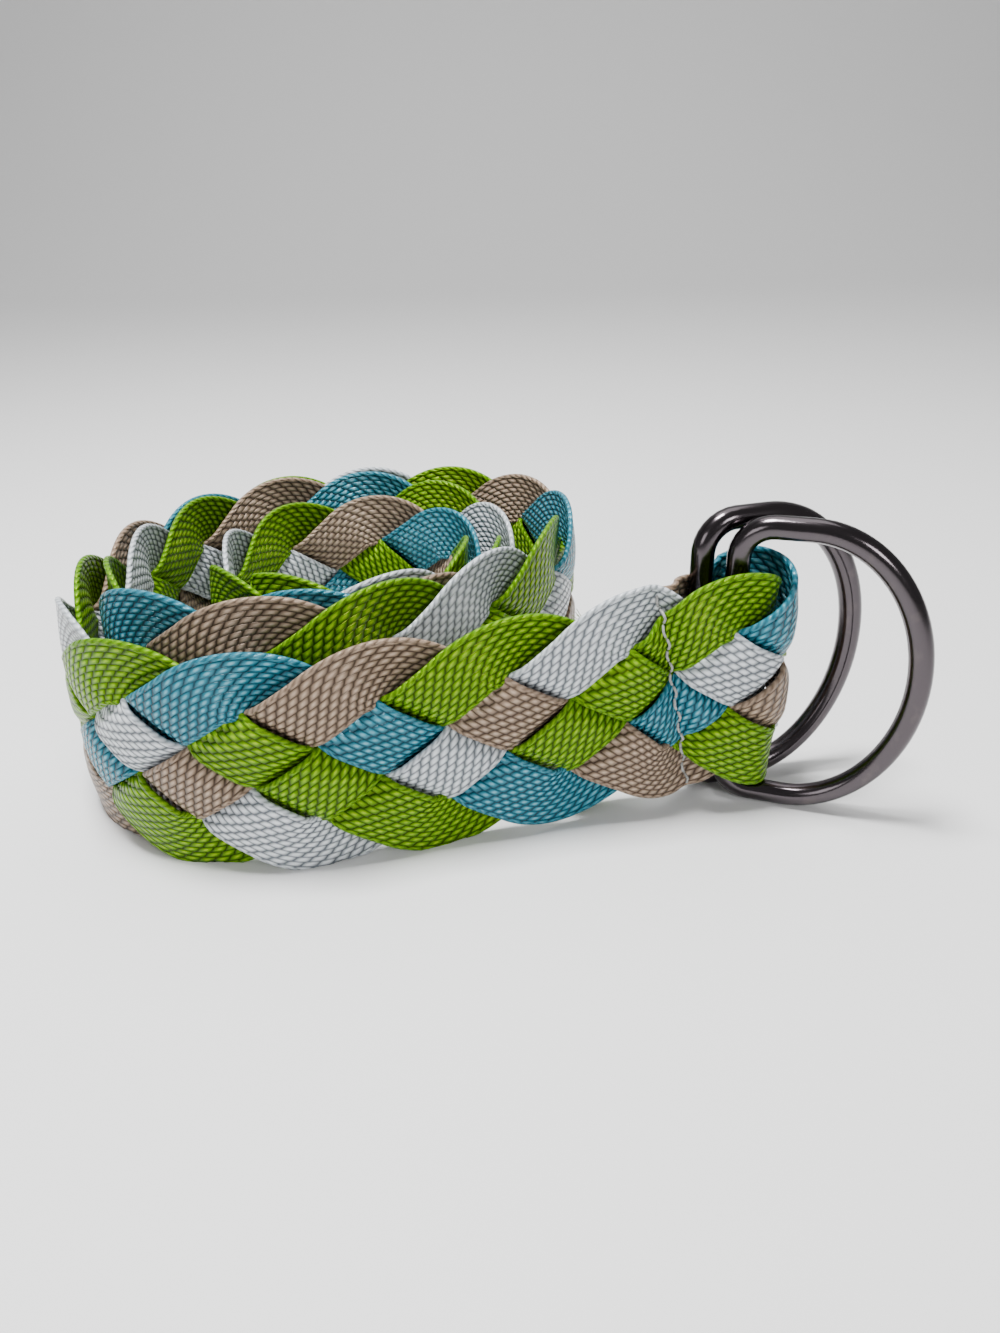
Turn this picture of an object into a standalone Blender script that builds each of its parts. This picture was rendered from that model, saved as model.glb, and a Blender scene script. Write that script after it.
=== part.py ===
"""Braided belt: five flat strips in a plain braid, folded round two D-rings, rolled up on its edge."""
import math

import bmesh
import bpy
import numpy as np

# Strips, in metres and radians
STRIP_WIDTH = 0.0106
STRIP_THICKNESS = 0.001
STRIP_GAP = 0.0024
WEAVE_RISE = 0.0022
BRAID_ANGLE = math.radians(34.15)
EDGE_TURN_RADIUS = 0.0105
FLATTENING = 0.0010

# Belt and coil
FOLD_TO_TIP = 0.876
FOLD_TO_WHITE_ARCH = 0.0344
RETURN_LENGTH = 0.035
COIL_RADIUS = 0.054
LAYER_GAP = 0.0008
CLEARANCE = 0.0003

# D-rings
WIRE = 0.0044
RING_ROOM = 0.0053
RING_REACH = 0.0338
RING_CORNER_RADIUS = 0.0062
RING_SIDE = 0.0125
BAR_ROOM = 0.0007
FOLD_TO_FRONT_BAR = 0.0026
BAR_SPACING = 0.0058
BAR_STAGGER = 0.0015
FRONT_RING_TURN = math.radians(-20.0)
REAR_RING_TURN = math.radians(15.0)

# Colour and roughness of each strip, in their order along the belt's upper edge
STRIPS = (
    ("strip_white", (0.62, 0.64, 0.68), 0.35),
    ("strip_lime_outer", (0.20, 0.40, 0.01), 0.40),
    ("strip_tan", (0.42, 0.33, 0.25), 0.40),
    ("strip_blue", (0.07, 0.30, 0.42), 0.38),
    ("strip_lime_inner", (0.20, 0.40, 0.01), 0.40),
)
GUNMETAL = (0.055, 0.045, 0.055)
GUNMETAL_ROUGHNESS = 0.28

SECTIONS_PER_CROSSING = 2
CELLS_ACROSS = 2
FINE_STRETCH = 0.014
PATH_SAMPLES = 4000
FOLD_SAMPLES = 24

# Outermost turn seen from above, one row for each eighth of a turn, clockwise from the front:
# share of the coil's radius
OUTLINE = (1.01, 1.10, 0.99, 1.00, 1.00, 1.00, 0.97, 0.94)

# Winding inwards, one row for each eighth of a turn from the front:
# inset in layers from the outermost turn, height above the table as a share of the belt's width
WINDING = (
    (0.00, 0.000),
    (0.00, 0.000),
    (0.00, 0.000),
    (0.00, 0.000),
    (0.00, 0.020),
    (0.00, 0.060),
    (0.84, 0.120),
    (1.65, 0.130),
    (1.50, 0.137),
    (1.41, 0.115),
    (1.40, 0.066),
    (1.21, 0.046),
    (1.66, 0.058),
    (2.69, 0.055),
    (2.84, 0.040),
    (2.83, 0.030),
    (3.86, 0.020),
    (5.00, 0.010),
    (4.30, 0.000),
    (3.81, 0.000),
    (3.57, 0.000),
    (3.91, 0.000),
    (4.10, 0.000),
    (4.30, 0.000),
    (5.05, 0.000),
    (5.95, 0.000),
)

# Straight run from the fold to the coil, seen from the coil's middle:
# sideways and forwards as shares of the coil's radius, height as a share of the loop's height
RUN = (
    (1.482, -0.737, 1.00),
    (1.210, -0.765, 0.90),
    (0.900, -0.803, 0.50),
    (0.593, -0.867, 0.15),
    (0.260, -0.945, 0.00),
)

# Folded-back layer behind the run: distance from the fold as a share of its length,
# how far the gap over the bars has closed
RETURN_CLOSING = ((0.00, 0.0), (0.30, 0.0), (0.46, 0.12), (0.62, 0.50), (0.78, 0.88), (0.95, 1.0), (1.00, 1.0))

spacing = STRIP_WIDTH + STRIP_GAP
pitch = spacing / math.sin(BRAID_ANGLE)
crossing = pitch / 2
level = spacing / (2 * math.cos(BRAID_ANGLE))
peak = len(STRIPS) / 2 * level
turn_reach = EDGE_TURN_RADIUS * math.sin(BRAID_ANGLE)
turn_centre = peak - EDGE_TURN_RADIUS / math.cos(BRAID_ANGLE)
half_width = turn_centre + EDGE_TURN_RADIUS + STRIP_WIDTH / 2
belt_thickness = 2 * WEAVE_RISE + STRIP_THICKNESS
fold_radius = WIRE / 2 + BAR_STAGGER + BAR_ROOM + belt_thickness / 2
ring_half_height = half_width + RING_ROOM / 2 + WIRE / 2
loop_height = FLATTENING + WIRE + CLEARANCE


def clear_scene():
    for old in list(bpy.data.objects):
        bpy.data.objects.remove(old, do_unlink=True)


def smooth_curve(points, samples):
    """Natural cubic spline through the points, spaced by their distances."""
    points = np.array(points)
    steps = np.linalg.norm(np.diff(points, axis=0), axis=1)
    at = np.concatenate([[0.0], np.cumsum(steps)])
    count = len(points)
    matrix = np.zeros((count, count))
    right = np.zeros_like(points)
    matrix[0, 0] = matrix[-1, -1] = 1.0
    for i in range(1, count - 1):
        before, after = steps[i - 1], steps[i]
        matrix[i, i - 1:i + 2] = before, 2 * (before + after), after
        right[i] = 6 * ((points[i + 1] - points[i]) / after - (points[i] - points[i - 1]) / before)
    bend = np.linalg.solve(matrix, right)
    where = np.linspace(0, at[-1], samples)
    i = np.clip(np.searchsorted(at, where, side="right") - 1, 0, count - 2)
    step = steps[i][:, None]
    low = ((at[i + 1] - where) / steps[i])[:, None]
    high = 1 - low
    curved = ((low**3 - low) * bend[i] + (high**3 - high) * bend[i + 1]) * step**2 / 6
    return low * points[i] + high * points[i + 1] + curved


def run_and_coil():
    """The belt's middle line in plan, with its height, from the start of the fold to past the tip."""
    points = [
        (side * COIL_RADIUS, ahead * COIL_RADIUS, height * loop_height) for side, ahead, height in RUN
    ]
    for eighth, (inset, height) in enumerate(WINDING):
        radius = COIL_RADIUS * OUTLINE[eighth % 8] - inset * (belt_thickness + LAYER_GAP)
        angle = -math.pi / 2 - eighth * math.pi / 4
        points.append((radius * math.cos(angle), radius * math.sin(angle), height * 2 * half_width))
    return smooth_curve(points, PATH_SAMPLES)


def behind(line):
    """Unit vectors in plan from the run's line towards its back, where the coil lies."""
    ahead = np.gradient(line[:, :2], axis=0)
    ahead /= np.linalg.norm(ahead, axis=1)[:, None]
    return np.stack([ahead[:, 1], -ahead[:, 0]], axis=1)


def distances(line):
    steps = np.linalg.norm(np.diff(line[:, :2], axis=0), axis=1)
    return np.concatenate([[0.0], np.cumsum(steps)])


def fold_and_return(main):
    """The half circle round the bars and the layer folded back, from its cut end to the run."""
    far = distances(main)
    back = behind(main)
    kept = far <= RETURN_LENGTH
    closed = fold_radius * 2 - belt_thickness - CLEARANCE
    shares, closing = np.array(RETURN_CLOSING).T
    gap = 2 * fold_radius - closed * np.interp(far[kept] / RETURN_LENGTH, shares, closing)
    layer = main[kept].copy()
    layer[:, :2] += back[kept] * gap[:, None]
    start, inward = main[0], back[0]
    outward = np.array([-inward[1], inward[0]])
    if np.dot(outward, main[0, :2] - main[5, :2]) < 0:
        outward = -outward
    centre = start[:2] + inward * fold_radius
    arc = []
    for angle in np.linspace(0, math.pi, FOLD_SAMPLES)[1:-1]:
        spot = centre + fold_radius * (math.cos(angle) * inward + math.sin(angle) * outward)
        arc.append((spot[0], spot[1], start[2]))
    return np.concatenate([layer[::-1], np.array(arc)])


class BeltPath:
    """Places on the belt's middle surface, by distance from the fold's outermost line."""

    def __init__(self):
        self.main = run_and_coil()
        line = np.concatenate([fold_and_return(self.main), self.main])
        far = distances(line)
        quarter = fold_radius * math.pi / 2
        start = far[len(line) - len(self.main)]
        self.line = line
        self.far = far - (start - quarter)
        ahead = np.gradient(line[:, :2], axis=0)
        self.ahead = ahead / np.linalg.norm(ahead, axis=1)[:, None]

    def place(self, far, up, out):
        """World place of a point up the belt's face and out from it."""
        x, y, z = (np.interp(far, self.far, self.line[:, k]) for k in range(3))
        ahead_x, ahead_y = (np.interp(far, self.far, self.ahead[:, k]) for k in range(2))
        size = np.hypot(ahead_x, ahead_y)
        return np.stack([x - out * ahead_y / size, y + out * ahead_x / size, z + half_width + up], axis=-1)


def strip_middle(far_from_arch):
    """Height of a strip's middle line on the belt's face, and the line's slope."""
    cycle = 2 * len(STRIPS) * crossing
    along = np.mod(far_from_arch + cycle / 2, cycle) - cycle / 2
    side = np.sign(along)
    from_top = np.abs(along)
    from_turn = np.minimum(from_top, cycle / 2 - from_top)
    sign = np.where(from_top < cycle / 4, 1.0, -1.0)
    rounded = from_turn < turn_reach
    arc = np.sqrt(np.maximum(EDGE_TURN_RADIUS**2 - from_turn**2, EDGE_TURN_RADIUS**2 / 4))
    height = np.where(rounded, turn_centre + arc, peak - from_turn / crossing * level)
    slope = np.where(rounded, from_turn / arc, math.tan(BRAID_ANGLE))
    before_turn = np.where(sign > 0, side, -side)
    return sign * height, -slope * before_turn * sign


def weave_rise(far_from_arch):
    """How far a strip stands out from the belt's middle surface as it goes over and under."""
    turn = len(STRIPS)
    step = np.mod(turn - far_from_arch / crossing, 2 * turn)
    over = np.cos(math.pi * step)
    over = over * (1.5 - 0.5 * over**2)
    past_bottom = np.where(step < 1, step + 2 * turn, step)
    rise = np.where(step <= turn - 1, over, -over)
    rise = np.where((step > turn - 1) & (step < turn + 1), np.cos(math.pi * (step - turn + 1) / 2), rise)
    near_bottom = (step < 1) | (step > 2 * turn - 1)
    rise = np.where(near_bottom, np.cos(math.pi * (past_bottom - 2 * turn + 1) / 2), rise)
    return WEAVE_RISE * rise


def strip_sections(path, order):
    """Distances along the belt of a strip's sections, from its cut end by the fold to the tip."""
    arch = FOLD_TO_WHITE_ARCH + order * pitch
    low = path.far[0]
    step = crossing / SECTIONS_PER_CROSSING
    first = math.ceil((low - arch) / step)
    last = math.floor((FOLD_TO_TIP - arch) / step) - 1
    inner = arch + step * (np.arange(first, last + 1) + 0.5)
    bent = inner[np.abs(inner) < FINE_STRETCH] + step / 2
    return arch, np.sort(np.concatenate([[low], inner, bent, [FOLD_TO_TIP]]))


def strip_lines(path, order):
    """Lines of points along a strip, from its lower edge to its upper one."""
    arch, far = strip_sections(path, order)
    height, slope = strip_middle(far - arch)
    rise = weave_rise(far - arch)
    size = np.hypot(1, slope)
    slant = -slope / math.tan(BRAID_ANGLE) / math.tan(2 * BRAID_ANGLE)
    lines = []
    for across in np.linspace(-STRIP_WIDTH / 2, STRIP_WIDTH / 2, CELLS_ACROSS + 1):
        along = far + across * (slant - slope) / size
        up = height + across * (1 + slant * slope) / size
        lines.append(path.place(along, up, rise))
    return lines


def material(name, colour, roughness, metallic=0.0):
    made = bpy.data.materials.new(name)
    made.use_nodes = True
    shader = made.node_tree.nodes["Principled BSDF"]
    shader.inputs["Base Color"].default_value = (*colour, 1.0)
    shader.inputs["Roughness"].default_value = roughness
    shader.inputs["Metallic"].default_value = metallic
    return made


def rest_flat(strip):
    """Flattens the strip's lowest turns, on which the belt stands."""
    graph = bpy.context.evaluated_depsgraph_get()
    walled = bpy.data.meshes.new_from_object(strip.evaluated_get(graph))
    for vert in walled.vertices:
        vert.co.z = max(vert.co.z, FLATTENING)
    strip.modifiers.clear()
    strip.data = walled


def make_strip(path, order, collection, frame):
    """One strip: a ribbon laid along its way through the braid, then given its thickness."""
    name, colour, roughness = STRIPS[order]
    lines = strip_lines(path, order)
    sections = len(lines[0]) - 1
    bm = bmesh.new()
    bmesh.ops.create_grid(bm, x_segments=sections, y_segments=CELLS_ACROSS, size=0.5)
    for vert in bm.verts:
        section = round((vert.co.x + 0.5) * sections)
        line = round((vert.co.y + 0.5) * CELLS_ACROSS)
        vert.co = lines[line][section]
    mesh = bpy.data.meshes.new(name)
    bm.to_mesh(mesh)
    bm.free()
    strip = bpy.data.objects.new(name, mesh)
    collection.objects.link(strip)
    strip.parent = frame
    wall = strip.modifiers.new("Thickness", "SOLIDIFY")
    wall.thickness = STRIP_THICKNESS
    wall.offset = 0.0
    mesh.materials.append(material(name, colour, roughness))
    rest_flat(strip)
    return strip


def ring_outline():
    """Middle line of a D-ring's wire, from the foot of its bar round to the far side and back."""
    half, corner, side = ring_half_height, RING_CORNER_RADIUS, RING_SIDE
    points = [(0.0, -half + corner), (0.0, 0.0), (0.0, half - corner)]
    for angle in np.radians((22.5, 45, 67.5)):
        points.append((corner * (1 - math.cos(angle)), half - corner * (1 - math.sin(angle))))
    points.append((corner, half))
    for angle in np.radians(np.arange(90, -91, -12)):
        points.append((side + (RING_REACH - side) * math.cos(angle), half * math.sin(angle)))
    points.append((corner, -half))
    for angle in np.radians((67.5, 45, 22.5)):
        points.append((corner * (1 - math.cos(angle)), -half + corner * (1 - math.sin(angle))))
    return points


def make_ring(name, bar, turn, collection, frame):
    """One D-ring of bent wire, its origin on the bar that the fold holds."""
    curve = bpy.data.curves.new(name, "CURVE")
    curve.dimensions = "3D"
    curve.bevel_depth = WIRE / 2
    curve.bevel_resolution = 3
    outline = ring_outline()
    spline = curve.splines.new("POLY")
    spline.points.add(len(outline) - 1)
    for point, (out, up) in zip(spline.points, outline):
        point.co = (out, 0.0, up, 1.0)
    spline.use_cyclic_u = True
    ring = bpy.data.objects.new(name, curve)
    collection.objects.link(ring)
    ring.parent = frame
    ring.location = (bar[0], bar[1], FLATTENING + WIRE / 2 + ring_half_height)
    ring.rotation_euler = (0.0, 0.0, turn)
    curve.materials.append(material(name, GUNMETAL, GUNMETAL_ROUGHNESS, 1.0))
    return ring


def bar_places(path):
    """Where the two bars stand inside the fold, in plan."""
    far = distances(path.main)
    back = behind(path.main)
    places = []
    for along, aside in ((FOLD_TO_FRONT_BAR, -BAR_STAGGER), (FOLD_TO_FRONT_BAR + BAR_SPACING, BAR_STAGGER)):
        spot = np.array([np.interp(along, far, path.main[:, k]) for k in range(2)])
        inward = np.array([np.interp(along, far, back[:, k]) for k in range(2)])
        places.append(spot + inward * (fold_radius + aside))
    return places


def seat_frame(frame, pieces):
    """Puts the frame's origin under the middle of the belt, on the surface it stands on."""
    bpy.context.view_layer.update()
    graph = bpy.context.evaluated_depsgraph_get()
    low, high = np.full(3, np.inf), np.full(3, -np.inf)
    for piece in pieces:
        shown = piece.evaluated_get(graph)
        mesh = shown.to_mesh()
        spots = np.array([shown.matrix_world @ vert.co for vert in mesh.vertices])
        low, high = np.minimum(low, spots.min(axis=0)), np.maximum(high, spots.max(axis=0))
        shown.to_mesh_clear()
    frame.location = (-(low[0] + high[0]) / 2, -(low[1] + high[1]) / 2, -low[2])
    bpy.context.view_layer.update()


clear_scene()
belt = bpy.data.collections.new("braided_belt")
bpy.context.scene.collection.children.link(belt)
belt_frame = bpy.data.objects.new("belt_frame", None)
belt.objects.link(belt_frame)
belt_path = BeltPath()
made_pieces = [make_strip(belt_path, order, belt, belt_frame) for order in range(len(STRIPS))]
front_bar, rear_bar = bar_places(belt_path)
made_pieces.append(make_ring("d_ring_front", front_bar, FRONT_RING_TURN, belt, belt_frame))
made_pieces.append(make_ring("d_ring_rear", rear_bar, REAR_RING_TURN, belt, belt_frame))
seat_frame(belt_frame, made_pieces)
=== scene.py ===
"""A braided belt of shiny webbing strips, rolled up on its edge, its end sewn round two gunmetal D-rings."""
import math
import random

import bpy
import numpy as np
from mathutils import Matrix, Vector


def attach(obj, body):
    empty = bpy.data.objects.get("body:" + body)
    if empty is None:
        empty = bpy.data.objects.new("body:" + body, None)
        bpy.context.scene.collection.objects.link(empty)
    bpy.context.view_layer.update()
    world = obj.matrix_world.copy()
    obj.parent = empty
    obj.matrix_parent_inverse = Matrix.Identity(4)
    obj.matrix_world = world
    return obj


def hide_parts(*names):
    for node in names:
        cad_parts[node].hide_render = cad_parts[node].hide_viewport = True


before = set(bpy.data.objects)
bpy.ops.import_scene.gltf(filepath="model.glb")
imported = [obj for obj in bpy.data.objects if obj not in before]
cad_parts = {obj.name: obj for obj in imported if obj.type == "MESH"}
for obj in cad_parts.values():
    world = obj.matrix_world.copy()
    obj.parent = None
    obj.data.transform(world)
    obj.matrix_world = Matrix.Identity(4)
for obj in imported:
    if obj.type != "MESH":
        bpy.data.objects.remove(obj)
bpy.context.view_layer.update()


# ---- Webbing strips
# Five strips of half-inch polypropylene webbing, warp-faced, with corded selvages. They are plaited flat,
# each over one and under one, and turn back in an arch at the belt's edges. The plait is folded round the
# rings' bars and rolled up, and stands on its lower arches.
STRIP_WIDTH = 0.0126
STRIP_THICKNESS = 0.0011
STRIP_SPACING = 0.0130
STRIP_CROWN = 0.0005
WEAVE_RISE = 0.0017
BRAID_ANGLE = math.radians(34.15)
BELT_HALF_WIDTH = 0.02275
FOLD_TO_TIP = 0.876
FOLD_TO_WHITE_ARCH = 0.0344
RETURN_LENGTH = 0.035
RETURN_SAG = 0.0022
RETURN_SAG_FROM = 0.006
RETURN_SAG_OVER = 0.012
FOLD_RADIUS = 0.0071
COIL_RADIUS = 0.054
LAYER_PITCH = 0.0062
COIL_MIDDLE = (-0.02723, 0.00056)
LOOP_HEIGHT = 0.0057
STANDING_DEPTH = 0.0010
ABOVE_TABLE = STRIP_THICKNESS / 20
SEAM_FROM_FOLD = 0.0259
SEAM_SLANT = 0.19
SEAM_PINCH_REACH = 0.0022
SEAM_PINCH_DEPTH = 0.0014
SEAM_PUCKER = 0.00018
SEAM_PUCKER_LENGTH = 0.00085
GATHER = 0.0038
GATHER_FRONT = (0.018, 0.036)
GATHER_BACK = (-0.034, -0.016)
RUN_SAMPLES = 4000
FOLD_SAMPLES = 40
STRIP_SECTIONS = 2300

# Outermost turn seen from above, clockwise from the front, each eighth of a turn: share of the coil's radius
OUTLINE = (1.01, 1.10, 0.99, 1.00, 1.00, 1.00, 0.97, 0.94)

# Winding inwards, each eighth of a turn: inset in layers, height as a share of the belt's width
WINDING = (
    (0.00, 0.000), (0.00, 0.000), (0.00, 0.000), (0.00, 0.000),
    (0.00, 0.020), (0.00, 0.060), (0.84, 0.120), (1.65, 0.130),
    (1.50, 0.137), (1.41, 0.115), (1.40, 0.066), (1.21, 0.046),
    (1.66, 0.058), (2.69, 0.055), (2.84, 0.040), (2.83, 0.030),
    (3.86, 0.020), (5.00, 0.010), (4.30, 0.000), (3.81, 0.000),
    (3.57, 0.000), (3.91, 0.000), (4.10, 0.000), (4.30, 0.000),
    (5.05, 0.000), (5.95, 0.000),
)

# Straight run from the fold to the coil: sideways and forwards as shares of the coil's radius, height as a
# share of the loop's
RUN = (
    (1.482, -0.737, 1.00), (1.210, -0.765, 0.90), (0.900, -0.803, 0.50),
    (0.593, -0.867, 0.15), (0.260, -0.945, 0.00),
)

# Folded-back layer: distance from the fold's start as a share of its length, how far it has closed on the run
RETURN_CLOSING = ((0.00, 0.0), (0.12, 0.06), (0.28, 0.55), (0.42, 0.94), (0.50, 1.0), (1.00, 1.0))

pitch = STRIP_SPACING / math.sin(BRAID_ANGLE)
crossing = pitch / 2
level = STRIP_SPACING / (2 * math.cos(BRAID_ANGLE))
peak = 2.5 * level
turn_radius = (peak + STRIP_WIDTH / 2 - BELT_HALF_WIDTH) / (1 / math.cos(BRAID_ANGLE) - 1)
turn_reach = turn_radius * math.sin(BRAID_ANGLE)
turn_centre = peak - turn_radius / math.cos(BRAID_ANGLE)
quarter_fold = FOLD_RADIUS * math.pi / 2


def smooth_curve(points, samples):
    """Natural cubic spline through the points, spaced by their distances."""
    points = np.array(points)
    steps = np.linalg.norm(np.diff(points, axis=0), axis=1)
    at = np.concatenate([[0.0], np.cumsum(steps)])
    count = len(points)
    matrix = np.zeros((count, count))
    right = np.zeros_like(points)
    matrix[0, 0] = matrix[-1, -1] = 1.0
    for i in range(1, count - 1):
        before, after = steps[i - 1], steps[i]
        matrix[i, i - 1:i + 2] = before, 2 * (before + after), after
        right[i] = 6 * ((points[i + 1] - points[i]) / after - (points[i] - points[i - 1]) / before)
    bend = np.linalg.solve(matrix, right)
    where = np.linspace(0, at[-1], samples)
    i = np.clip(np.searchsorted(at, where, side="right") - 1, 0, count - 2)
    step = steps[i][:, None]
    low = ((at[i + 1] - where) / steps[i])[:, None]
    high = 1 - low
    curved = ((low**3 - low) * bend[i] + (high**3 - high) * bend[i + 1]) * step**2 / 6
    return low * points[i] + high * points[i + 1] + curved


def plan_distances(line):
    steps = np.linalg.norm(np.diff(line[:, :2], axis=0), axis=1)
    return np.concatenate([[0.0], np.cumsum(steps)])


def belt_middle_line():
    """The belt's middle line in plan with its height, from the cut ends round the fold to the tip, and the
    distance of each point from the fold's outermost line."""
    points = [
        (side * COIL_RADIUS, ahead * COIL_RADIUS, height * LOOP_HEIGHT) for side, ahead, height in RUN
    ]
    for eighth, (inset, height) in enumerate(WINDING):
        radius = COIL_RADIUS * OUTLINE[eighth % 8] - inset * LAYER_PITCH
        angle = -math.pi / 2 - eighth * math.pi / 4
        points.append((radius * math.cos(angle), radius * math.sin(angle), height * 2 * BELT_HALF_WIDTH))
    run = smooth_curve(points, RUN_SAMPLES)
    far = plan_distances(run)
    ahead = np.gradient(run[:, :2], axis=0)
    ahead /= np.linalg.norm(ahead, axis=1)[:, None]
    back = np.stack([ahead[:, 1], -ahead[:, 0]], axis=1)
    kept = far <= RETURN_LENGTH
    closed = 2 * FOLD_RADIUS - 2 * WEAVE_RISE - STRIP_THICKNESS
    shares, closing = np.array(RETURN_CLOSING).T
    behind = run[kept].copy()
    apart = 2 * FOLD_RADIUS - closed * np.interp(far[kept] / RETURN_LENGTH, shares, closing)
    behind[:, :2] += back[kept] * apart[:, None]
    behind[:, 2] -= RETURN_SAG * np.clip((far[kept] - RETURN_SAG_FROM) / RETURN_SAG_OVER, 0, 1)
    inward, outward = back[0], -ahead[0]
    centre = run[0, :2] + inward * FOLD_RADIUS
    turn = []
    for angle in np.linspace(0, math.pi, FOLD_SAMPLES)[1:-1]:
        spot = centre + FOLD_RADIUS * (math.cos(angle) * inward + math.sin(angle) * outward)
        turn.append((spot[0], spot[1], run[0, 2]))
    line = np.concatenate([behind[::-1], np.array(turn), run])
    start = plan_distances(line)[len(line) - len(run)]
    line += (COIL_MIDDLE[0], COIL_MIDDLE[1], BELT_HALF_WIDTH - STANDING_DEPTH)
    return line, plan_distances(line) - (start - quarter_fold)


middle_line, middle_far = belt_middle_line()
middle_ahead = np.gradient(middle_line[:, :2], axis=0)
middle_ahead /= np.linalg.norm(middle_ahead, axis=1)[:, None]


def belt_place(far, up, out):
    """Place of a point on the belt's face: its distance from the fold, its height, how far it stands out."""
    x, y, z = (np.interp(far, middle_far, middle_line[:, k]) for k in range(3))
    ahead_x, ahead_y = (np.interp(far, middle_far, middle_ahead[:, k]) for k in range(2))
    size = np.hypot(ahead_x, ahead_y)
    return np.stack([x - out * ahead_y / size, y + out * ahead_x / size, z + up], axis=-1)


def strip_middle(from_arch):
    """Height of a strip's middle line on the belt's face and its slope, by the distance from its top arch."""
    cycle = 10 * crossing
    along = np.mod(from_arch + cycle / 2, cycle) - cycle / 2
    side = np.sign(along)
    from_top = np.abs(along)
    from_turn = np.minimum(from_top, cycle / 2 - from_top)
    sign = np.where(from_top < cycle / 4, 1.0, -1.0)
    rounded = from_turn < turn_reach
    arc = np.sqrt(np.maximum(turn_radius**2 - from_turn**2, turn_radius**2 / 4))
    height = np.where(rounded, turn_centre + arc, peak - from_turn / crossing * level)
    slope = np.where(rounded, from_turn / arc, math.tan(BRAID_ANGLE))
    return sign * height, -slope * side


def over_and_under(from_arch):
    """1 where a strip lies over the one that it crosses, -1 under it, with flat tops and steep ways between."""
    step = np.mod(5 - from_arch / crossing, 10)
    wave = np.cos(math.pi * step)
    wave = wave * (1.875 - 1.25 * wave**2 + 0.375 * wave**4)
    rise = np.where(step <= 4, wave, -wave)
    rise = np.where((step > 4) & (step < 6), np.cos(math.pi * (step - 4) / 2), rise)
    past_bottom = np.where(step < 1, step + 10, step)
    return np.where((step < 1) | (step > 9), np.cos(math.pi * (past_bottom - 9) / 2), rise)


def seam_pinch(far, up):
    """1 on the seam that holds the fold, falling away to both sides."""
    from_seam = np.abs(far) - SEAM_FROM_FOLD - SEAM_SLANT * up
    return np.exp(-((from_seam / SEAM_PINCH_REACH) ** 2))


def gathered(along):
    """Where a point of the flat plait comes to lie: the seam draws the plait away from the fold."""
    before = np.clip((GATHER_FRONT[1] - along) / (GATHER_FRONT[1] - GATHER_FRONT[0]), 0, 1)
    behind = np.clip((along - GATHER_BACK[0]) / (GATHER_BACK[1] - GATHER_BACK[0]), 0, 1)
    return along + GATHER * before**2 * (3 - 2 * before) * behind**2 * (3 - 2 * behind)


def strip_surface(order, across):
    """Places, weave coordinates and belt coordinates of a strip's middle surface, from cut end to tip."""
    arch = FOLD_TO_WHITE_ARCH + order * pitch
    far = np.linspace(middle_far[0], FOLD_TO_TIP, STRIP_SECTIONS)
    height, slope = strip_middle(far - arch)
    rise = over_and_under(far - arch)
    size = np.hypot(1, slope)
    slant = -slope / math.tan(BRAID_ANGLE) / math.tan(2 * BRAID_ANGLE)
    length = np.concatenate([[0.0], np.cumsum(np.diff(far) * (size[1:] + size[:-1]) / 2)])
    along = gathered(far[:, None] + across * ((slant - slope) / size)[:, None])
    up = height[:, None] + across * ((1 + slant * slope) / size)[:, None]
    pinch = seam_pinch(along, up)
    bulge = STRIP_CROWN * (1 - (2 * across / STRIP_WIDTH) ** 2)
    out = rise[:, None] * (WEAVE_RISE * (1 - 0.5 * pinch) + bulge) - SEAM_PINCH_DEPTH * pinch
    out += SEAM_PUCKER * np.sin(up / SEAM_PUCKER_LENGTH) * pinch**0.5
    spots = belt_place(along, up, out)
    spots[..., 2] = np.maximum(spots[..., 2], ABOVE_TABLE)
    weave = np.stack([length[:, None] + across * slant[:, None], np.broadcast_to(across, up.shape)], axis=-1)
    return spots, weave, np.stack([along, up, out], axis=-1)


WEAVE_FLOAT = 0.0023
WEAVE_ROW = 0.00115
FLOAT_SLANT = 0.30
SELVAGE_FROM_ROW = 4.75
FIBRE_RELIEF = 0.22
WEAVE_RELIEF = 0.00055

# Half a strip from its middle line to its selvage: share of the width, share of the thickness
HALF_STRIP = (
    (0.0, 0.86), (0.11, 0.86), (0.22, 0.86), (0.33, 0.85), (0.405, 0.82),
    (0.43, 0.95), (0.46, 1.0), (0.488, 0.78), (0.5, 0.30),
)
strip_columns = [(-across, share) for across, share in HALF_STRIP[:0:-1]] + list(HALF_STRIP)
STRIP_ACROSS = np.array([across for across, share in strip_columns]) * STRIP_WIDTH


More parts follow.
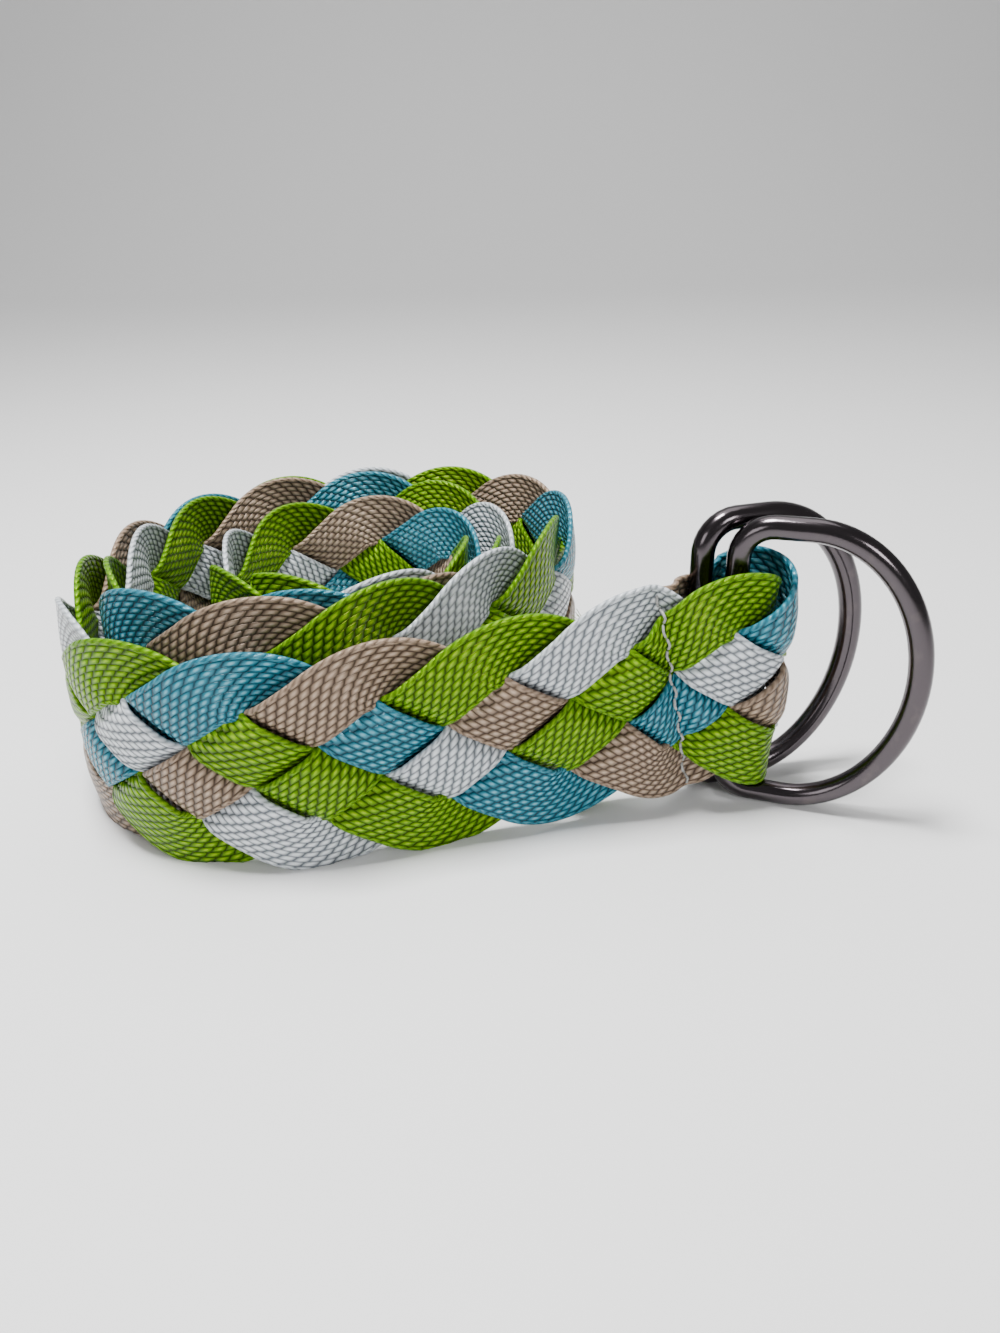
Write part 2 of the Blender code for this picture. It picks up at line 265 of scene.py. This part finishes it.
class NodeSketch:
    """A material's nodes, added one after another."""

    def __init__(self, name):
        self.material = bpy.data.materials.new(name)
        self.material.use_nodes = True
        self.tree = self.material.node_tree
        self.shader = self.tree.nodes["Principled BSDF"]

    def add(self, kind, **settings):
        node = self.tree.nodes.new(kind)
        for key, value in settings.items():
            setattr(node, key, value)
        return node

    def link(self, source, target):
        if isinstance(source, bpy.types.NodeSocket):
            self.tree.links.new(source, target)
        else:
            target.default_value = source

    def math(self, operation, *values, clamp=False):
        node = self.add("ShaderNodeMath", operation=operation, use_clamp=clamp)
        for value, socket in zip(values, node.inputs):
            self.link(value, socket)
        return node.outputs[0]

    def mix(self, share, first, second):
        node = self.add("ShaderNodeMix", data_type="RGBA")
        for value, name in ((share, "Factor_Float"), (first, "A_Color"), (second, "B_Color")):
            self.link(value, next(s for s in node.inputs if s.identifier == name))
        return next(s for s in node.outputs if s.identifier == "Result_Color")

    def noise(self, vector, scale, detail=2.0):
        node = self.add("ShaderNodeTexNoise")
        self.link(vector, node.inputs["Vector"])
        node.inputs["Scale"].default_value = scale
        node.inputs["Detail"].default_value = detail
        return node.outputs["Fac"]

    def vector(self, x, y, z=0.0):
        node = self.add("ShaderNodeCombineXYZ")
        for value, socket in zip((x, y, z), node.inputs):
            self.link(value, socket)
        return node.outputs[0]

    def bump(self, height, distance, strength=1.0):
        node = self.add("ShaderNodeBump")
        node.inputs["Strength"].default_value = strength
        node.inputs["Distance"].default_value = distance
        self.link(height, node.inputs["Height"])
        self.link(node.outputs[0], self.shader.inputs["Normal"])


def webbing_finish(name, face, glint, shade, roughness):
    """Warp-faced webbing: rows of short plump floats set like bricks, with painted shade between them and a
    painted highlight on their crests, corded at both edges.
    """
    sketch = NodeSketch(name)
    where = sketch.add("ShaderNodeUVMap", uv_map="weave")
    parts = sketch.add("ShaderNodeSeparateXYZ")
    sketch.link(where.outputs[0], parts.inputs[0])
    along, across = parts.outputs[0], parts.outputs[1]
    row = sketch.math("ROUND", across)
    in_row = sketch.math("SUBTRACT", across, row)
    odd = sketch.math("FLOORED_MODULO", row, 2.0)
    phase = sketch.math("MULTIPLY_ADD", odd, 0.5, along)
    phase = sketch.math("MULTIPLY_ADD", in_row, FLOAT_SLANT, phase)
    along_float = sketch.math("ABSOLUTE", sketch.math("COSINE", sketch.math("MULTIPLY", phase, math.pi)))
    across_float = sketch.math("ABSOLUTE", sketch.math("COSINE", sketch.math("MULTIPLY", across, math.pi)))
    along_float = sketch.math("POWER", along_float, 0.75)
    across_float = sketch.math("POWER", across_float, 0.42)
    floats = sketch.math("MULTIPLY", along_float, across_float)
    from_middle = sketch.math("ABSOLUTE", across)
    edge = sketch.math("MULTIPLY", sketch.math("SUBTRACT", from_middle, SELVAGE_FROM_ROW), 4.0, clamp=True)
    tick_phase = sketch.math("MULTIPLY_ADD", from_middle, 0.9, sketch.math("MULTIPLY", along, 1.6))
    ticks = sketch.math("ABSOLUTE", sketch.math("COSINE", sketch.math("MULTIPLY", tick_phase, math.pi)))
    ticks = sketch.math("MULTIPLY_ADD", ticks, 0.4, 0.45)
    height = sketch.math("ADD", floats, sketch.math("MULTIPLY", edge, sketch.math("SUBTRACT", ticks, floats)))
    yarns = sketch.vector(sketch.math("MULTIPLY", along, 1.2), sketch.math("MULTIPLY", across, 9.0))
    height = sketch.math("MULTIPLY_ADD", sketch.noise(yarns, 1.0, 3.0), FIBRE_RELIEF, height)
    stretches = sketch.vector(sketch.math("MULTIPLY", along, 0.16), sketch.math("MULTIPLY", across, 0.3))
    patches = sketch.noise(stretches, 1.0, 2.0)
    # Painted shade: the colour runs from the shade colour in the hollows between floats and rows to the floats'
    # colour on their tops, and is darkened a little more on the corded selvages.
    share = sketch.math("MULTIPLY", sketch.math("SUBTRACT", height, 0.28), 1.45, clamp=True)
    share = sketch.math("MULTIPLY", share, sketch.math("MULTIPLY_ADD", edge, -0.30, 1.0))
    colour = sketch.mix(share, (*shade, 1.0), (*face, 1.0))
    # Painted highlight: the glint colour is laid over the tops of the floats, in long stretched patches.
    painted_glint = sketch.math("MULTIPLY", sketch.math("SUBTRACT", height, 0.92), 3.0, clamp=True)
    colour = sketch.mix(sketch.math("MULTIPLY", painted_glint, patches), colour, (*glint, 1.0))
    sketch.link(colour, sketch.shader.inputs["Base Color"])
    sketch.bump(height, WEAVE_RELIEF, 1.0)
    sketch.shader.inputs["Roughness"].default_value = roughness
    sketch.shader.inputs["Specular IOR Level"].default_value = 0.5
    sketch.shader.inputs["Specular Tint"].default_value = (*glint, 1.0)
    return sketch.material


# In the plait's order: name, colour of the floats, their glint (painted highlight on the crests, and tint of
# the reflections), painted shade between them, roughness, slot
STRIPS = (
    ("white", (0.74, 0.79, 0.83), (1.0, 1.0, 1.0), (0.14, 0.16, 0.18), 0.22, "white_webbing"),
    ("lime_outer", (0.125, 0.330, 0.000), (0.70, 0.90, 0.03), (0.010, 0.045, 0.000), 0.29, "lime_webbing"),
    ("tan", (0.36, 0.26, 0.185), (0.85, 0.67, 0.52), (0.060, 0.038, 0.025), 0.30, "tan_webbing"),
    ("blue", (0.030, 0.240, 0.330), (0.50, 0.88, 1.0), (0.002, 0.042, 0.068), 0.24, "blue_webbing"),
    ("lime_inner", (0.125, 0.330, 0.000), (0.70, 0.90, 0.03), (0.010, 0.045, 0.000), 0.29, "lime_webbing"),
)


def lay_strip(order):
    """One strip as a closed ribbon, with its weave coordinates on it."""
    name, face, glint, shade, roughness, slot = STRIPS[order]
    spots, weave, on_belt = strip_surface(order, STRIP_ACROSS)
    rows, columns = spots.shape[:2]
    index = np.arange(rows * columns).reshape(rows, columns)
    quads = np.stack([index[:-1, :-1], index[1:, :-1], index[1:, 1:], index[:-1, 1:]], axis=-1).reshape(-1, 4)
    mesh = bpy.data.meshes.new("webbing_" + name)
    mesh.from_pydata(spots.reshape(-1, 3), [], quads)
    mesh.polygons.foreach_set("use_smooth", np.ones(len(quads), bool))
    weave_map = mesh.uv_layers.new(name="weave")
    corners = np.zeros(len(mesh.loops), np.int32)
    mesh.loops.foreach_get("vertex_index", corners)
    weave_map.data.foreach_set("uv", (weave / (WEAVE_FLOAT, WEAVE_ROW)).reshape(-1, 2)[corners].ravel())
    strip = bpy.data.objects.new("webbing_" + name, mesh)
    bpy.context.scene.collection.objects.link(strip)
    selvage = strip.vertex_groups.new(name="thickness")
    for column, (_, share) in enumerate(strip_columns):
        selvage.add(index[:, column].tolist(), share, "REPLACE")
    wall = strip.modifiers.new("thickness", "SOLIDIFY")
    wall.thickness = STRIP_THICKNESS
    wall.offset = 0.0
    wall.vertex_group = "thickness"
    mesh.materials.append(webbing_finish(name + "_webbing", face, glint, shade, roughness))
    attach(strip, "belt")
    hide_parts("strip_" + name)
    return on_belt.reshape(-1, 3)


belt_faces = np.concatenate([lay_strip(order) for order in range(len(STRIPS))])


# ---- D-rings
# Two D-rings of 4.4 mm steel wire, bent and closed in the bar, with a dark gunmetal plating that has worn a
# little. The straight bars stand side by side in the fold, and each ring swings on its bar.
RING_WIRE = 0.0044
RING_HALF_HEIGHT = 0.0276
RING_REACH = 0.0338
RING_CORNER = 0.0062
RING_SIDE = 0.0125

# Name, middle of the bar, turn about it in degrees
RINGS = (
    ("front", (0.04964, -0.03394, 0.0298), -20.0),
    ("rear", (0.04357, -0.03155, 0.0298), 15.0),
)


def ring_line():
    """Middle line of the wire, from the bar's foot up and round the bend."""
    half = RING_HALF_HEIGHT
    points = [(0.0, share * (half - RING_CORNER)) for share in np.linspace(-1, 1, 9)]
    for angle in np.radians(np.arange(84, 0, -12)):
        points.append((RING_CORNER * (1 - math.sin(angle)), half - RING_CORNER * (1 - math.cos(angle))))
    points.append((RING_CORNER, half))
    for angle in np.radians(np.arange(90, -91, -4)):
        points.append((RING_SIDE + (RING_REACH - RING_SIDE) * math.cos(angle), half * math.sin(angle)))
    points.append((RING_CORNER, -half))
    for angle in np.radians(np.arange(12, 85, 12)):
        points.append((RING_CORNER * (1 - math.sin(angle)), -half + RING_CORNER * (1 - math.cos(angle))))
    return points


def gunmetal_finish():
    """Polished dark plating, a little paler and browner where it has worn."""
    sketch = NodeSketch("gunmetal")
    where = sketch.add("ShaderNodeTexCoord").outputs["Object"]
    wear = sketch.noise(where, 260.0, 4.0)
    marks = sketch.noise(where, 2400.0, 3.0)
    worn = sketch.math("MULTIPLY", sketch.math("SUBTRACT", wear, 0.60), 2.0, clamp=True)
    colour = sketch.mix(worn, (0.085, 0.074, 0.080, 1.0), (0.16, 0.135, 0.13, 1.0))
    sketch.link(colour, sketch.shader.inputs["Base Color"])
    roughness = sketch.math("MULTIPLY_ADD", wear, 0.10, 0.13)
    sketch.link(roughness, sketch.shader.inputs["Roughness"])
    sketch.shader.inputs["Metallic"].default_value = 1.0
    sketch.bump(marks, 0.00002, 0.35)
    return sketch.material


gunmetal = gunmetal_finish()
for name, bar, turn in RINGS:
    wire = bpy.data.curves.new("gunmetal_ring_" + name, "CURVE")
    wire.dimensions = "3D"
    wire.bevel_depth = RING_WIRE / 2
    wire.bevel_resolution = 8
    line = ring_line()
    bend = wire.splines.new("POLY")
    bend.points.add(len(line) - 1)
    for point, (out, up) in zip(bend.points, line):
        point.co = (out, 0.0, up, 1.0)
    bend.use_cyclic_u = True
    bend.use_smooth = True
    ring = bpy.data.objects.new("gunmetal_ring_" + name, wire)
    bpy.context.scene.collection.objects.link(ring)
    ring.location = bar
    ring.rotation_euler = (0.0, 0.0, math.radians(turn))
    wire.materials.append(gunmetal)
    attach(ring, name + "_ring")
    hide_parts("d_ring_" + name)


# ---- Seam
# One slanting row of machine stitches in shiny silver-grey thread goes through both layers of the fold
# beside the rings' bars, and pulls them into a valley.
THREAD = 0.00052
STITCH = 0.0026
STITCH_SWAY = 0.00035
SEAM_MARGIN = 0.0012
FACE_REACH = 0.0007
FACE_ABOVE_MIDDLE = STRIP_THICKNESS * 0.43

# A stitch from hole to hole: share of its length, height over the belt's face
STITCH_SHAPE = ((0.02, -0.0006), (0.16, 0.00005), (0.5, 0.00022), (0.84, 0.00005), (0.98, -0.0006))


def belt_face_out(far, up):
    """How far the belt's outermost surface stands out at a point of its face."""
    near = np.hypot(belt_faces[:, 0] - far, belt_faces[:, 1] - up) < FACE_REACH
    if not near.any():
        return 0.0
    return belt_faces[near, 2].max() + FACE_ABOVE_MIDDLE


def seam_thread(side):
    """The stitches on one face of the fold: short bars that dip into the webbing at both ends."""
    spline_points = []
    count = int(2 * (BELT_HALF_WIDTH - SEAM_MARGIN) / STITCH)
    for stitch in range(count):
        low = -BELT_HALF_WIDTH + SEAM_MARGIN + stitch * STITCH
        sway = STITCH_SWAY if stitch % 2 else -STITCH_SWAY
        for share, lift in STITCH_SHAPE:
            up = low + share * STITCH
            far = SEAM_FROM_FOLD + SEAM_SLANT * up + sway * math.sin(math.pi * share)
            out = belt_face_out(side * far, up) + lift
            spline_points.append(belt_place(np.array(side * far), np.array(up), np.array(out)))
    return spline_points


def thread_finish():
    """Slick twisted thread, silver grey."""
    sketch = NodeSketch("seam_thread")
    where = sketch.add("ShaderNodeTexCoord").outputs["Object"]
    twist = sketch.noise(where, 3000.0, 2.0)
    colour = sketch.mix(twist, (0.12, 0.12, 0.12, 1.0), (0.58, 0.58, 0.56, 1.0))
    sketch.link(colour, sketch.shader.inputs["Base Color"])
    sketch.shader.inputs["Roughness"].default_value = 0.22
    sketch.bump(twist, 0.0001, 0.5)
    return sketch.material


thread_material = thread_finish()
for side, name in ((1, "front"), (-1, "back")):
    thread = bpy.data.curves.new("seam_" + name, "CURVE")
    thread.dimensions = "3D"
    thread.bevel_depth = THREAD / 2
    thread.bevel_resolution = 3
    thread.use_fill_caps = True
    run = thread.splines.new("POLY")
    places = seam_thread(side)
    run.points.add(len(places) - 1)
    for point, place in zip(run.points, places):
        point.co = (place[0], place[1], max(place[2], THREAD / 2), 1.0)
    run.use_smooth = True
    seam = bpy.data.objects.new("seam_" + name, thread)
    bpy.context.scene.collection.objects.link(seam)
    thread.materials.append(thread_material)
    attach(seam, "belt")


# ---- Frayed ends
# The five strips are cut off square behind the run, past the seam. Their warp yarns have come loose at the
# cut and stand out as short curly fibres.
FIBRE = 0.00011
FIBRES_PER_STRIP = 260
FIBRE_SHORTEST = 0.0006
FIBRE_LONGEST = 0.0030
FIBRE_ROOT = 0.0004
chance = random.Random(7)


def fibre_finish(name, colour):
    """Loose warp yarn in its strip's colour, darker in places."""
    sketch = NodeSketch(name)
    where = sketch.add("ShaderNodeTexCoord").outputs["Object"]
    shade = sketch.noise(where, 900.0, 2.0)
    dark = tuple(c * 0.35 for c in colour)
    mixed = sketch.mix(shade, (*dark, 1.0), (*colour, 1.0))
    sketch.link(mixed, sketch.shader.inputs["Base Color"])
    sketch.shader.inputs["Roughness"].default_value = 0.5
    return sketch.material


for order, (name, face, glint, shade, roughness, slot) in enumerate(STRIPS):
    fibres = bpy.data.curves.new("fray_" + name, "CURVE")
    fibres.dimensions = "3D"
    fibres.bevel_depth = FIBRE / 2
    fibres.bevel_resolution = 0
    arch = FOLD_TO_WHITE_ARCH + order * pitch
    cut = np.array([middle_far[0]])
    height, slope = strip_middle(cut - arch)
    rise = over_and_under(cut - arch)
    size = math.hypot(1, slope[0])
    slant = -slope[0] / math.tan(BRAID_ANGLE) / math.tan(2 * BRAID_ANGLE)
    for _ in range(FIBRES_PER_STRIP):
        across = chance.uniform(-0.49, 0.49) * STRIP_WIDTH
        far = cut[0] + across * (slant - slope[0]) / size
        up = height[0] + across * (1 + slant * slope[0]) / size
        out = rise[0] * WEAVE_RISE + chance.uniform(-0.4, 0.4) * STRIP_THICKNESS
        length = chance.uniform(FIBRE_SHORTEST, FIBRE_LONGEST)
        lean_up = chance.gauss(slope[0], 0.45)
        lean_out = chance.gauss(0.0, 0.30)
        curl = chance.gauss(0.0, 0.5)
        tuft = fibres.splines.new("POLY")
        tuft.points.add(4)
        for step, point in enumerate(tuft.points):
            way = step / 4 * length
            bend_up = curl * way * step / 4
            place = belt_place(
                np.array(far - way + FIBRE_ROOT),
                np.array(up - lean_up * way * 0.5 + bend_up),
                np.array(out + lean_out * way),
            )
            point.co = (place[0], place[1], max(place[2], FIBRE), 1.0)
    fray = bpy.data.objects.new("fray_" + name, fibres)
    bpy.context.scene.collection.objects.link(fray)
    paler = tuple(min(1.0, c * 1.15 + 0.03) for c in face)
    fibres.materials.append(fibre_finish(name + "_fibres", paler))
    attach(fray, "belt")


# ---- Table, light and camera
# The belt stands on a plain pale sheet that curves up far behind it, under soft light from above, with weak
# fill from the front and a wash on the sheet. A phone camera is held close to it and looks a little down.
CAMERA_PLACE = (0.00578, -0.19744, 0.1140)
CAMERA_PITCH = 27.15
CAMERA_ROLL = -1.51
FOCAL_LENGTH = 25.92
SWEEP_FROM = 0.9
SWEEP_RADIUS = 0.6
SWEEP_HALF_WIDTH = 4.0

# Place, aim, size in metres and watts
LAMPS = (
    ((-0.10, -0.02, 0.60), (0.0, 0.0, 0.03), 0.16, 8.0),
    ((0.35, -0.60, 0.40), (0.0, 0.0, 0.03), 0.20, 1.9),
    ((-0.50, -0.50, 0.30), (0.0, 0.0, 0.03), 0.30, 1.1),
    ((0.0, 0.9, 1.9), (0.0, 0.6, 0.0), 1.6, 22.0),
)

sweep = [(-3.0, 0.0)]
for angle in np.linspace(0, math.pi / 2, 24):
    sweep.append((SWEEP_FROM + SWEEP_RADIUS * math.sin(angle), SWEEP_RADIUS - SWEEP_RADIUS * math.cos(angle)))
sweep.append((SWEEP_FROM + SWEEP_RADIUS, 3.0))
sheet = bpy.data.meshes.new("table")
sheet.from_pydata(
    [(side * SWEEP_HALF_WIDTH, y, z) for y, z in sweep for side in (-1, 1)],
    [],
    [(2 * i, 2 * i + 1, 2 * i + 3, 2 * i + 2) for i in range(len(sweep) - 1)],
)
sheet.polygons.foreach_set("use_smooth", [True] * len(sheet.polygons))
table = bpy.data.objects.new("table", sheet)
bpy.context.scene.collection.objects.link(table)
plain = NodeSketch("plain_table")
plain.shader.inputs["Base Color"].default_value = (0.80, 0.80, 0.80, 1.0)
plain.shader.inputs["Roughness"].default_value = 0.6
table.data.materials.append(plain.material)

surround = bpy.data.worlds.new("studio")
bpy.context.scene.world = surround
surround.use_nodes = True
surround.node_tree.nodes["Background"].inputs["Color"].default_value = (1.0, 1.0, 1.0, 1.0)
surround.node_tree.nodes["Background"].inputs["Strength"].default_value = 0.24
for place, aim, size, power in LAMPS:
    lamp = bpy.data.lights.new("soft_light", "AREA")
    lamp.size = size
    lamp.energy = power
    light = bpy.data.objects.new("soft_light", lamp)
    bpy.context.scene.collection.objects.link(light)
    light.location = place
    light.rotation_euler = (Vector(aim) - Vector(place)).to_track_quat("-Z", "Y").to_euler()

lens = bpy.data.cameras.new("camera")
lens.sensor_width = 36.0
lens.lens = FOCAL_LENGTH
lens.clip_start = 0.01
camera = bpy.data.objects.new("camera", lens)
bpy.context.scene.collection.objects.link(camera)
pitched = Matrix.Rotation(math.radians(90 - CAMERA_PITCH), 4, "X")
rolled = Matrix.Rotation(math.radians(CAMERA_ROLL), 4, "Z")
camera.matrix_world = Matrix.Translation(CAMERA_PLACE) @ (pitched @ rolled)
bpy.context.scene.camera = camera
